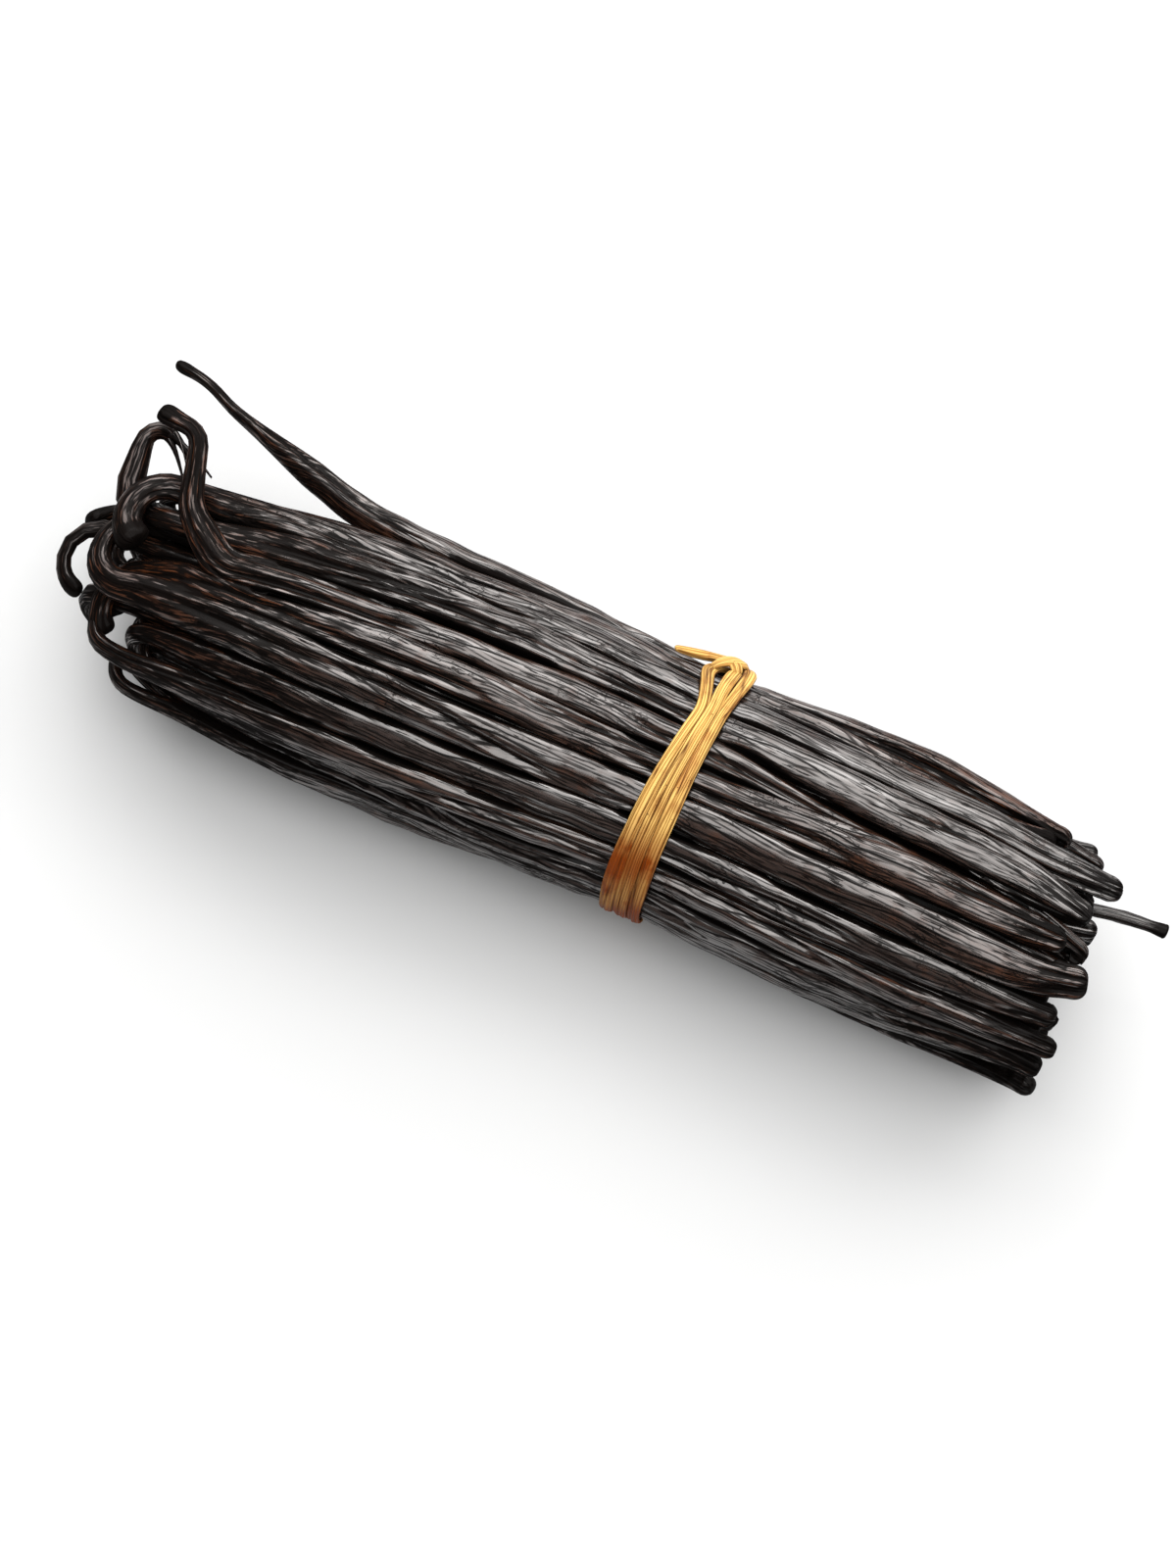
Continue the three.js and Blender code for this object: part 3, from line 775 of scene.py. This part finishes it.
def frayed_fibre(number, base, way, curl):
    """A tapered fibre from the torn end, in millimetres."""
    mesh, co = copied(fibre_kind, f"fibre_{number}")
    draw = np.random.default_rng(300 + number)
    length, thick = draw.uniform(3.6, 6.2), draw.uniform(1.3, 2.0)
    way = np.array(way.normalized()) + draw.uniform(-0.42, 0.42, 3)
    bent = np.array(curl) * draw.uniform(0.3, 1.5)
    side = np.cross(way, (0, 0, 1.0))
    side /= np.linalg.norm(side)
    over = np.cross(way, side)
    t = co[:, 0:1]
    laid = np.array(base) + way * t * length + bent * t**2
    laid = laid + (side * co[:, 1:2] + over * co[:, 2:3]) * thick
    spots = np.stack([co[:, 0] * length, co[:, 1] * thick, co[:, 2] * thick], axis=1) + number * 7.0
    return laid_piece(mesh, laid, pod_skin, straight=spots, fold=0.55, stem=1.0, redness=0.35)


torn_path = lane_path(torn)[0] + np.array([tie_x, axis_y - BOW_AT_STEMS * 1.1, 0])
torn_way = Vector(torn_path[-1] - torn_path[-3])
torn_end = torn_path[-1] - np.array(torn_way.normalized()) * 0.8
down = np.array([1.6, -3.8, -0.6])
placed = []
for n in range(FIBRES):
    base = torn_end + (n - FIBRES // 2) * 0.25 * np.array([0.5, 0.6, 0.4])
    placed.append(frayed_fibre(n, base, torn_way, down))
frayed_stem_end = gathered(placed, "frayed_stem_end")
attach(frayed_stem_end, "root")
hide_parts("pod_bundle")
bpy.data.objects.remove(fibre_kind)

# ---------------------------------------------------------------------------------------------------
# The raffia
# A strand of dried palm leaf, folded over itself into a flat, creased band, is wound three times round
# the pods and drawn tight. At the back it is crossed over itself in a small knot with two short ends.
# ---------------------------------------------------------------------------------------------------

STRAND_WIDE = 2.75
STRAND_THICK = 1.0
RAFFIA_OFF_PODS = 0.72  # from the outline of the pods to the middle of a strand
FLOOR_CLEARANCE = 0.12


def straight_strand(name, length, spacing):
    """A strand along +X from the origin: a flat disc, extruded ring by ring, then smoothed."""
    strand = start_disc(name, 14)
    bpy.ops.transform.resize(value=(1, STRAND_WIDE, STRAND_THICK), center_override=(0, 0, 0))
    for _ in range(round(length / spacing)):
        bpy.ops.mesh.extrude_region_move(TRANSFORM_OT_translate={"value": (spacing, 0, 0)})
    close_skin(strand, 2)
    return strand


def on_band(angle, x, lift):
    """A point on the raffia at an angle round the bundle, x from the tie, and the way out from there."""
    wide, high, mid = outline(x)
    off = RAFFIA_OFF_PODS + lift
    out = np.stack([0 * x, np.cos(angle) / wide, np.sin(angle) / high], axis=1)
    out /= np.linalg.norm(out, axis=1)[:, None]
    return np.stack([x, wide * np.cos(angle), mid + high * np.sin(angle)], axis=1) + out * off[:, None], out


# the raffia's skin: pale ochre fibres with darker stains, and thin dark cracks between some of them; with
# painted highlight on the crests of its fibres and painted shade in its troughs, its creases, between the
# strands and low at the front
dry_raffia = bpy.data.materials.new("dry_raffia")
dry_raffia.use_nodes = True
tree = dry_raffia.node_tree
shader = tree.nodes["Principled BSDF"]
straight = node(tree, "ShaderNodeAttribute", attribute_name="straight").outputs["Vector"]
stain = node(tree, "ShaderNodeAttribute", attribute_name="stain").outputs["Fac"]
fold = node(tree, "ShaderNodeAttribute", attribute_name="fold").outputs["Fac"]
fibre, fibre_swell = lengthwise_grain(tree, straight, 0.5, 30.0, 0.14, 2.0)
crack, broad_swell = lengthwise_grain(tree, straight, 1.2, 12.0, 0.07, 2.0)
clouds = wire(tree, node(tree, "ShaderNodeTexNoise"), Vector=straight, Scale=0.16, Detail=3.0)
specks = wire(tree, node(tree, "ShaderNodeTexNoise"), Vector=straight, Scale=1.5, Detail=2.0)
bare = stretch_range(tree, clouds.outputs[0], 0.40, 0.62)
# fibre grain, paler on the crests of the fibres and darker in the troughs of the broad swells: painted
# highlight and painted shade on its relief
grain_and_painted_light = blend_colour(tree, fibre_swell, (0.42, 0.215, 0.042), (0.62, 0.39, 0.118))
broad_trough_shade = stretch_range(tree, broad_swell, 0.1, 0.9, 0.6, 0.0)
grain_and_painted_light = blend_colour(tree, broad_trough_shade, grain_and_painted_light, (0.36, 0.175, 0.036))
cloudy = stretch_range(tree, clouds.outputs[0], 0.5, 0.7, 0.0, 0.5)
# the stain and painted shade low at the front, and clouds of stain
stained = sums(tree, "ADD", stain, cloudy, clamp=True)
tinted = blend_colour(tree, stained, grain_and_painted_light, (0.20, 0.037, 0.0002))
lines = sums(tree, "MAXIMUM", sums(tree, "MULTIPLY", crack, bare), sums(tree, "MULTIPLY", fibre, 0.3))
speck = stretch_range(tree, specks.outputs[0], 0.70, 0.76)
lines = sums(tree, "MAXIMUM", lines, speck)
# the painted shade in the creases and between the strands, dark like the cracks
lines = sums(tree, "MAXIMUM", lines, fold, clamp=True)
raffia_colour = blend_colour(tree, lines, tinted, (0.075, 0.020, 0.003))
height = sums(tree, "ADD", sums(tree, "MULTIPLY", fibre_swell, 0.8), sums(tree, "MULTIPLY", lines, -0.8))
bump = wire(tree, node(tree, "ShaderNodeBump"), Strength=0.8, Distance=0.00018, Height=height)
matt = stretch_range(tree, fibre_swell, 0.3, 0.7, 0.42, 0.62)
wire(tree, shader, Base_Color=raffia_colour, Roughness=matt, Normal=bump.outputs[0])
wire(tree, shader, IOR=1.45, Specular_IOR_Level=0.16)


def lay_strand(kind, name, route, seed, creases=1.0):
    """A copy of a strand laid along a route of (degrees round, x, lift, share of width, of thickness)."""
    mesh, co = copied(kind, name)
    full = co[:, 0].max()
    draw = np.random.default_rng(seed)
    shift = draw.uniform(-300, 300, 3)

    # a smooth route through the given points
    route = np.array(route, dtype=float)
    knots = np.arange(len(route))
    fine = np.linspace(0, len(route) - 1, 40 * (len(route) - 1) + 1)
    values = np.stack([np.interp(fine, knots, route[:, i]) for i in range(5)], axis=1)
    for _ in range(220):
        values[1:-1] = (values[:-2] + 2 * values[1:-1] + values[2:]) / 4
    path, out = on_band(np.radians(values[:, 0]), values[:, 1], values[:, 2])
    steps = np.linalg.norm(np.diff(path, axis=0), axis=1)
    reach = np.concatenate([[0], np.cumsum(steps)])
    along = np.gradient(path, axis=0)
    along /= np.linalg.norm(along, axis=1)[:, None]
    across = np.cross(out, along)
    across /= np.linalg.norm(across, axis=1)[:, None]
    thick_way = np.cross(along, across)

    where = co[:, 0] / full * reach[-1]
    spots = np.stack([where, co[:, 1], co[:, 2]], axis=1) + shift

    def along_path(table):
        return np.stack([np.interp(where, reach, table[:, i]) for i in range(3)], axis=1)

    def ridge(length, width, sharp):
        cells = spots / np.array([length, width, 4.0])
        value = np.array([noise.noise(c) for c in cells.tolist()])
        return np.clip(1 - np.abs(value) / sharp, 0, 1)

    crease = ridge(42.0, 1.5, 0.16) * creases
    tuck = ridge(15.0, 0.8, 0.5) * creases
    twist = 0.16 * np.sin(where / 9.0 + draw.uniform(0, 6))
    twist = twist + 0.10 * np.sin(where / 4.1 + draw.uniform(0, 6))
    edge = 1 + 0.05 * np.sin(where / 6.3 + draw.uniform(0, 6)) + 0.03 * np.sin(where / 2.3)
    wide = co[:, 1] * np.interp(where, reach, values[:, 3]) * edge
    thick = co[:, 2] * np.interp(where, reach, values[:, 4])
    # folded leaf is fuller at its two edges than down its middle
    fuller = 0.10 - 0.30 * crease - 0.07 * tuck
    thick += np.sign(co[:, 2]) * np.minimum(abs(co[:, 2]) * 2, 1) * fuller
    turned_wide = wide * np.cos(twist) - thick * np.sin(twist)
    turned_thick = wide * np.sin(twist) + thick * np.cos(twist)
    laid = along_path(path)
    laid += along_path(across) * turned_wide[:, None] + along_path(thick_way) * turned_thick[:, None]
    # the strands are darker brown low down at the front, away from the light: a stain, with painted shade
    low_side = np.clip((-laid[:, 1] - 10.0) / 7.5, 0, 1)
    stain = low_side**0.8 * (0.88 + 0.3 * np.sin(where / 3.0 + seed))
    # painted shade along the edges of each strand, where it lies against the next, and in its crease
    rim_shade = smooth(abs(co[:, 1]) / (0.5 * STRAND_WIDE), 0.84, 0.97)
    rim_shade = rim_shade * (0.65 + 0.35 * np.sin(where / 4.0 + seed))
    fold = np.clip(crease**3 + 0.9 * creases * rim_shade, 0, 1)
    laid[:, 2] = np.maximum(laid[:, 2], FLOOR_CLEARANCE)
    laid[:, 0] += tie_x
    laid[:, 1] += axis_y
    return laid_piece(mesh, laid, dry_raffia, straight=spots, fold=fold, stain=stain)


ring_kind = straight_strand("straight_strand", 132.0, 2.0)
short_kind = straight_strand("short_strand", 12.0, 1.0)
# the three turns side by side: degrees round the bundle from +Y, and at each of those how far along
# the bundle a turn lies, how far it is lifted by what is under it, and how much it is drawn together
ROUND = [17, 27, 36, 50, 63, 80, 99, 118, 135, 155, 175, 205, 235, 270, 300, 330, 355, 375]
ACROSS = [
    [0.8, -1.3, -2.0, -0.8, 0.2, -0.8, -1.65, -2.15, -2.45,
     -2.45, -2.25, -2.1, -2.2, -2.1, -1.8, -1.4, -0.6, 0.4],
    [1.7, 2.0, 1.8, 1.6, 1.7, 1.0, 0.4, 0.05, -0.15, -0.1, 0.0, 0.15, 0.1, 0.2, 0.4, 0.6, 0.8, 1.0],
    [3.6, 4.3, 4.2, 3.7, 3.15, 2.8, 2.4, 2.25, 2.1, 2.2, 2.2, 2.3, 2.4, 2.5, 2.6, 2.9, 3.2, 3.4],
]
LIFT = [
    [0.0, 0.2, 0.1, 0, 0, 0, 0, 0, 0, 0, 0, 0, 0, 0, 0, 0, 0, 0],
    [0.1, 0.5, 0.5, 0.45, 0.4, 0.3, 0.15, 0, 0, 0, 0, 0, 0, 0, 0, 0, 0, 0],
    [0.9, 1.0, 0.5, 0.15, 0, 0, 0, 0, 0, 0, 0, 0, 0, 0, 0, 0, 0, 0],
]
DRAWN_IN = [
    0.65, 0.8, 0.86, 0.8, 0.74, 0.8, 0.86, 0.9, 0.93, 0.93, 0.9, 0.95, 0.95, 0.95, 0.95, 0.95, 0.9, 0.7,
]
TURNS = [
    [(degrees, x, lift, share, 1.0 + 0.6 * max(0.0, 0.9 - share)) for degrees, x, lift, share
     in zip(ROUND, across, lifts, DRAWN_IN)]
    for across, lifts in zip(ACROSS, LIFT)
]
rings = [lay_strand(ring_kind, f"turn_{n + 1}", turn, 31 + n) for n, turn in enumerate(TURNS)]
raffia_turns = gathered(rings, "raffia_turns")
KNOT = [
    # over the top of the left turn and down behind the middle one
    [(9, 2.4, 0.2, 0.8, 1.0), (13, 2.4, 1.3, 1.0, 1.2), (19, 1.7, 1.8, 1.1, 1.3), (24, 0.4, 1.7, 1.1, 1.3),
     (29, -0.8, 1.4, 0.8, 1), (31, -1.8, 0.3, 0.7, 0.9)],
    # back across it, and out to the long loose end
    [(29, 2.4, 0.6, 0.7, 0.9), (27, 1.7, 1.5, 0.8, 1.1), (23, 0.5, 1.7, 1.1, 1.3),
     (22, -1.4, 1.4, 1.0, 1.3), (21, -3.4, 0.9, 0.9, 1.5), (25, -5.6, 0.6, 0.85, 1.4),
     (29, -8.4, 0.4, 0.45, 0.8)],
    # the short end, on the far side
    [(20, 1.2, 1.0, 0.7, 1), (13, 1.6, 1.9, 0.75, 1), (4, 2.2, 1.6, 0.7, 0.95), (-6, 2.8, 1.0, 0.5, 0.8),
     (-14, 3.3, 0.8, 0.2, 0.5)],
]
wraps = [lay_strand(short_kind, f"wrap_{n + 1}", wrap, 41 + n, 0.7) for n, wrap in enumerate(KNOT)]
raffia_knot = gathered(wraps, "raffia_knot")
for piece in (raffia_turns, raffia_knot):
    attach(piece, "root")
    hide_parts("raffia_tie")
for kind in (ring_kind, short_kind):
    bpy.data.objects.remove(kind)

# ---------------------------------------------------------------------------------------------------
# The table top, the light and the camera
# The bundle lies on plain white, lit softly from behind and above, and is looked down on steeply.
# ---------------------------------------------------------------------------------------------------

bpy.ops.object.select_all(action="DESELECT")
bpy.ops.mesh.primitive_plane_add(size=6.0, location=(0, 0, 0))
table_top = bpy.context.object
table_top.name = "table_top"
paper = bpy.data.materials.new("white_table_top")
paper.use_nodes = True
paper_shader = paper.node_tree.nodes["Principled BSDF"]
paper_shader.inputs["Base Color"].default_value = (0.47, 0.482, 0.49, 1)
paper_shader.inputs["Roughness"].default_value = 0.9
table_top.data.materials.append(paper)

scene = bpy.context.scene
scene.view_settings.view_transform = "Standard"
sky = bpy.data.worlds.new("soft_white_room")
scene.world = sky
sky.use_nodes = True
sky.node_tree.nodes["Background"].inputs["Color"].default_value = (1, 1, 1, 1)
sky.node_tree.nodes["Background"].inputs["Strength"].default_value = 0.12


def softbox(name, place, aim, size, power):
    light = bpy.data.lights.new(name, "AREA")
    light.shape = "RECTANGLE"
    light.size, light.size_y = size
    light.energy = power
    light.color = (1.0, 0.975, 0.955)
    holder = bpy.data.objects.new(name, light)
    holder.location = place
    holder.rotation_euler = (Vector(aim) - Vector(place)).to_track_quat("-Z", "Y").to_euler()
    scene.collection.objects.link(holder)


middle_of_bundle = (0, 0, 0.02)
softbox("softbox_behind", (-0.16, 0.75, 0.52), middle_of_bundle, (1.8, 0.9), 15.0)
softbox("softbox_overhead", (0.10, 0.22, 0.95), middle_of_bundle, (2.2, 1.5), 36.0)

AZIMUTH, ELEVATION, DISTANCE = math.radians(24.0), math.radians(75), 0.42
back = Vector((
    math.sin(AZIMUTH) * math.cos(ELEVATION),
    -math.cos(AZIMUTH) * math.cos(ELEVATION),
    math.sin(ELEVATION),
))
right = Vector((math.cos(AZIMUTH), math.sin(AZIMUTH), 0))
upwards = back.cross(right)
AIM_UP, AIM_LEFT, AIM_BEYOND = 0.0193, 0.0135, 0.0011  # from the tie
aim = Vector((tie_x / 1000, axis_y / 1000, AIM_UP)) - right * AIM_LEFT + upwards * AIM_BEYOND
lens = bpy.data.cameras.new("camera")
lens.lens = 61.0
lens.clip_start = 0.01
camera = bpy.data.objects.new("camera", lens)
camera.location = aim + back * DISTANCE
camera.rotation_euler = (-back).to_track_quat("-Z", "Y").to_euler()
scene.collection.objects.link(camera)
scene.camera = camera
